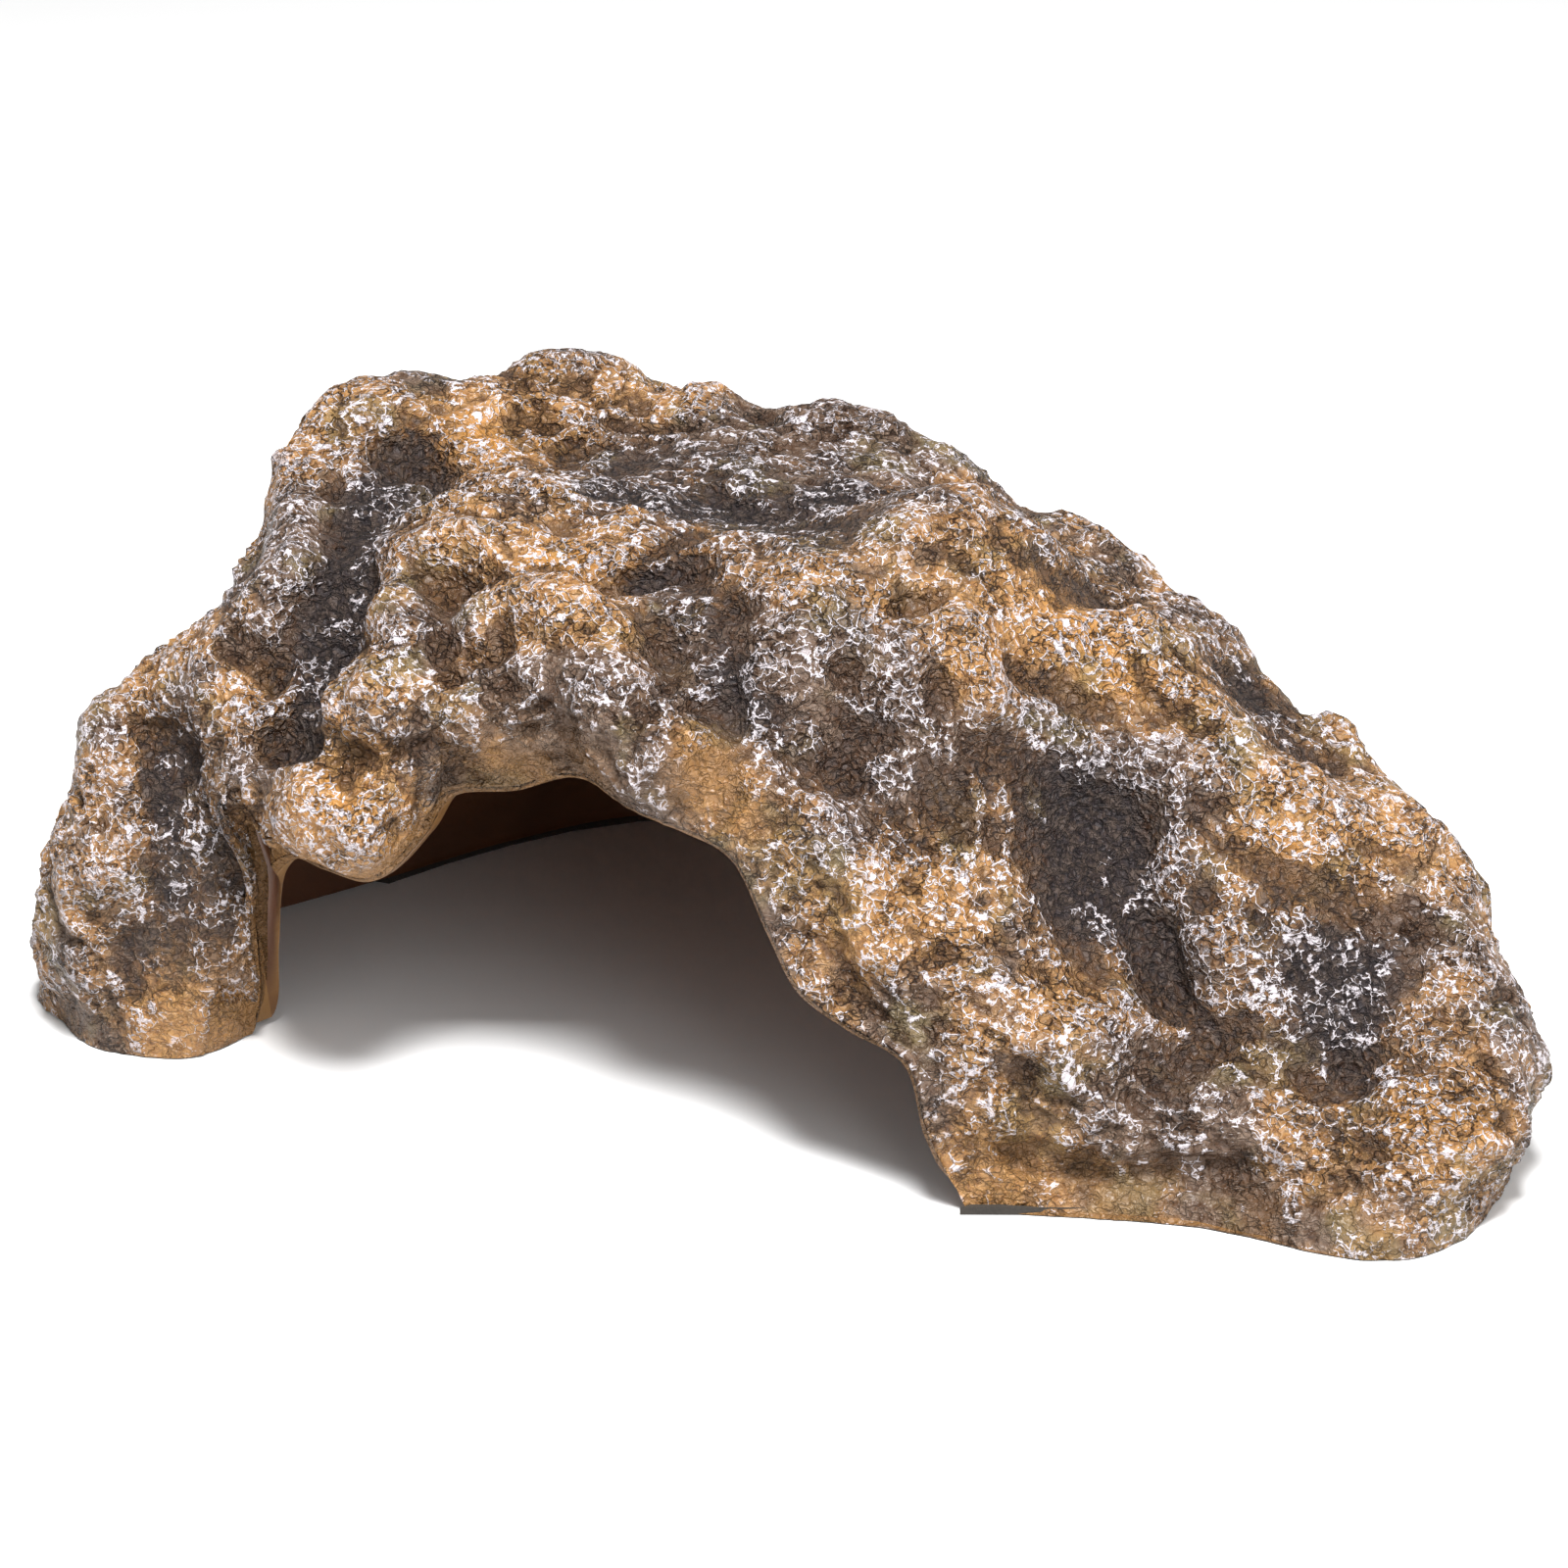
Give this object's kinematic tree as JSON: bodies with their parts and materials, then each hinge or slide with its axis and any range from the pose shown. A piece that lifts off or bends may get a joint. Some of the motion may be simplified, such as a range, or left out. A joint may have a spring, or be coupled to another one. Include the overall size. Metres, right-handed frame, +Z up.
{
  "type": "resin cave ornament",
  "caption": "Free-standing rock-arch cave hide in painted cast resin, hollow and open at the front and underneath.",
  "frame": {"origin": "middle of the footprint on the floor that the casting's pads rest on", "axes": "+X along the arch towards the ramped right foot, -Y out of the cave's mouth, +Z up"},
  "size_m": [0.2874, 0.1677, 0.1093],
  "materials": {
    "painted_rock": "satin",
    "lining_resin": "satin",
    "fill_resin": "satin",
    "pad_rubber": "matte"
  },
  "bodies": {
    "root": {"rock_coat": "painted_rock", "inner_lining": "lining_resin", "left_foot_fill": "fill_resin", "right_toe_fill": "fill_resin", "left_foot_pad": "pad_rubber", "right_foot_pad": "pad_rubber", "back_pad": "pad_rubber"}
  },
  "joints": []
}
